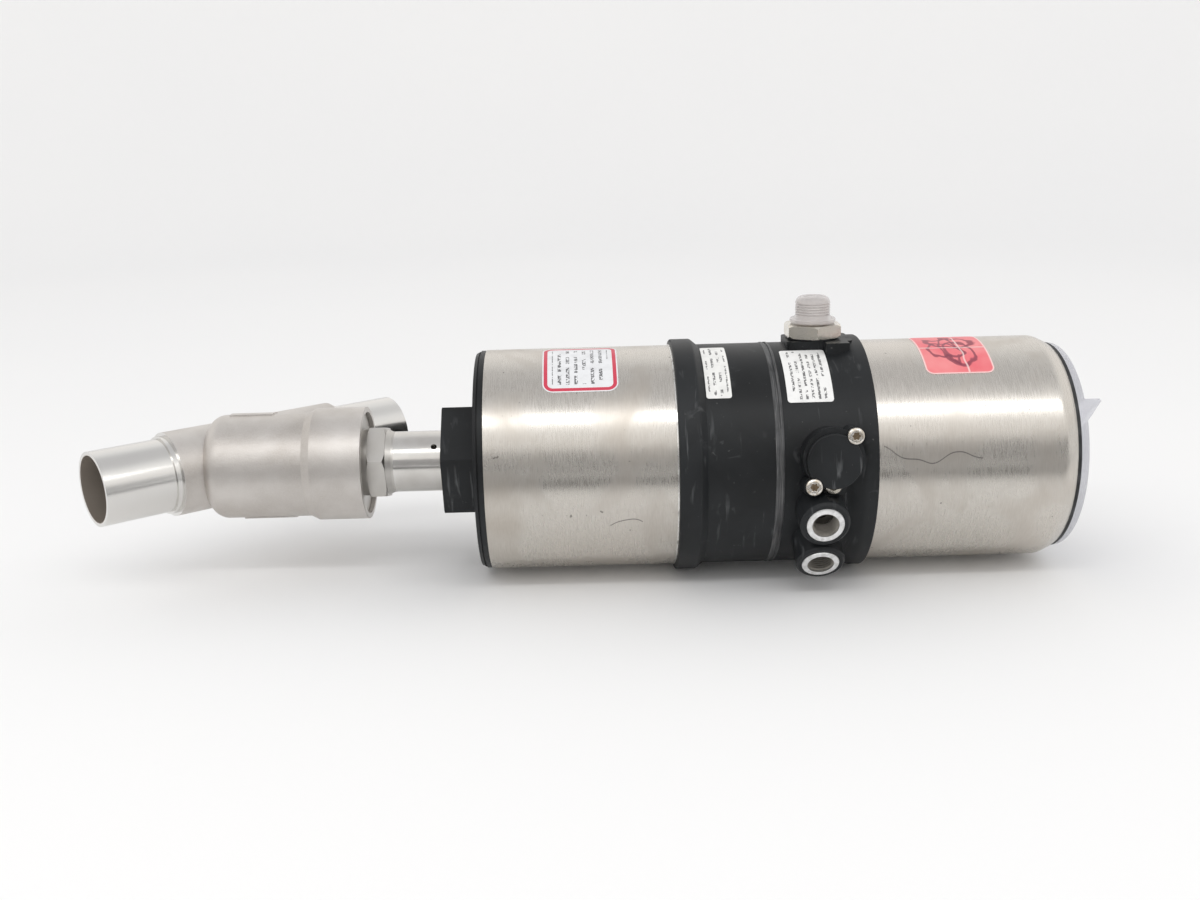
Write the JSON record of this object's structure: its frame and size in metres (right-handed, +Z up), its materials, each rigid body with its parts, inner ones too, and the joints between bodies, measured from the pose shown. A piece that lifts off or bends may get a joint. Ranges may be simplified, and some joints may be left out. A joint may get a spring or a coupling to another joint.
{
  "type": "angle-seat control valve",
  "caption": "Angle-seat control valve with butt-weld pipe ends, a spring-return piston actuator in a steel shell, and a positioner head with a twist-off clear cap.",
  "frame": {"origin": "centre of the inlet pipe end's face", "axes": "+X along the actuator axis, from the flow body to the clear cap; +Z up, square to the pipe axis; the pipe axis lies in the XY plane, 39.5 degrees from +X"},
  "size_m": [0.3859, 0.1214, 0.1071],
  "materials": {
    "cast_stainless": "bead-blasted casting",
    "machined_stainless": "turned",
    "brushed_stainless": "brushed round the cylinder",
    "spring_steel": "oiled",
    "black_plastic": "moulded, fine texture",
    "seal_rubber": "smooth",
    "white_ptfe": "turned",
    "bronze_bush": "turned",
    "nickel_plate": "satin nickel",
    "zinc_screw": "bright",
    "port_metal": "satin",
    "edge_metal": "bright",
    "clear_plastic": "clear, lightly scuffed",
    "dust_cap_plastic": "translucent, soft",
    "label_film": "printed film",
    "warning_film": "printed film, red border",
    "red_sticker": "creased film",
    "circuit_board": "solder mask",
    "display_glass": "grey liquid-crystal window",
    "key_plastic": "smooth",
    "magnet": "plated",
    "board_contacts": "gold-flashed"
  },
  "bodies": {
    "flow_body": {"valve_body": "cast_stainless", "body_gasket": "white_ptfe", "nipple": "machined_stainless", "gland": "bronze_bush", "packing_rings": "white_ptfe", "packing_spring": "spring_steel", "snap_ring": "spring_steel"},
    "actuator": {"actuator_base": "black_plastic", "stem_bush": "bronze_bush", "stem_seal": "seal_rubber", "cylinder_liner": "black_plastic", "actuator_shell": "brushed_stainless", "shell_o_rings": "seal_rubber", "edge_ring": "edge_metal", "main_spring": "spring_steel", "inner_spring": "spring_steel", "actuator_housing": "black_plastic", "rod_bush": "bronze_bush", "rod_seal": "seal_rubber", "seam_ring": "seal_rubber", "positioner_base": "black_plastic", "housing_screws": "zinc_screw", "sensor_tube": "white_ptfe", "pilot_valve_block": "key_plastic", "port_insert_upper": "port_metal", "port_insert_lower": "port_metal", "vent_plug": "port_metal", "relief_cover": "black_plastic", "cover_screws": "zinc_screw", "m12_connector": "nickel_plate", "m12_contacts": "board_contacts", "m12_gasket": "seal_rubber", "m12_nut": "nickel_plate", "positioner_shell": "brushed_stainless", "bayonet_ring": "black_plastic", "cap_seal": "seal_rubber", "control_board": "circuit_board", "keypad_frame": "black_plastic", "display_module": "display_glass", "warning_label": "warning_film", "strip_label": "label_film", "rating_label": "label_film", "sticker": "red_sticker"},
    "stem_set": {"stem": "machined_stainless", "plug_cone": "machined_stainless", "plug_seal": "white_ptfe", "plug_holder": "machined_stainless", "plug_pin": "machined_stainless", "piston": "black_plastic", "piston_seal": "seal_rubber", "piston_nut": "zinc_screw", "feedback_rod": "machined_stainless", "feedback_magnet": "magnet"},
    "dust_cap": {"dust_cap": "dust_cap_plastic"},
    "clear_cap": {"clear_cap": "clear_plastic"},
    "key_1": {"key_1": "key_plastic"},
    "key_2": {"key_2": "key_plastic"},
    "key_3": {"key_3": "key_plastic"},
    "key_4": {"key_4": "key_plastic"}
  },
  "joints": [
    {"name": "actuator_swivel", "type": "hinge", "parent": "flow_body", "child": "actuator", "pos_m": [0.13034, 0.02831, 0], "axis": [1, 0, 0], "continuous": true},
    {"name": "stem_lift", "type": "slide", "parent": "actuator", "child": "stem_set", "axis": [1, 0, 0], "range_m": [0, 0.012], "stiffness_N_per_m": 8000, "springref_m": -0.05, "deforming": ["main_spring", "inner_spring"]},
    {"name": "clear_cap_turn", "type": "hinge", "parent": "actuator", "child": "clear_cap", "pos_m": [0.37114, 0.02831, 0], "axis": [1, 0, 0], "range_deg": [0, 35]},
    {"name": "dust_cap_pull", "type": "slide", "parent": "actuator", "child": "dust_cap", "axis": [0, 0, 1], "range_m": [0, 0.012]},
    {"name": "key_1_press", "type": "slide", "parent": "actuator", "child": "key_1", "axis": [-1, 0, 0], "range_m": [0, 0.0008], "stiffness_N_per_m": 300, "springref_m": -0.002},
    {"name": "key_2_press", "type": "slide", "parent": "actuator", "child": "key_2", "axis": [-1, 0, 0], "range_m": [0, 0.0008], "stiffness_N_per_m": 300, "springref_m": -0.002},
    {"name": "key_3_press", "type": "slide", "parent": "actuator", "child": "key_3", "axis": [-1, 0, 0], "range_m": [0, 0.0008], "stiffness_N_per_m": 300, "springref_m": -0.002},
    {"name": "key_4_press", "type": "slide", "parent": "actuator", "child": "key_4", "axis": [-1, 0, 0], "range_m": [0, 0.0008], "stiffness_N_per_m": 300, "springref_m": -0.002}
  ]
}
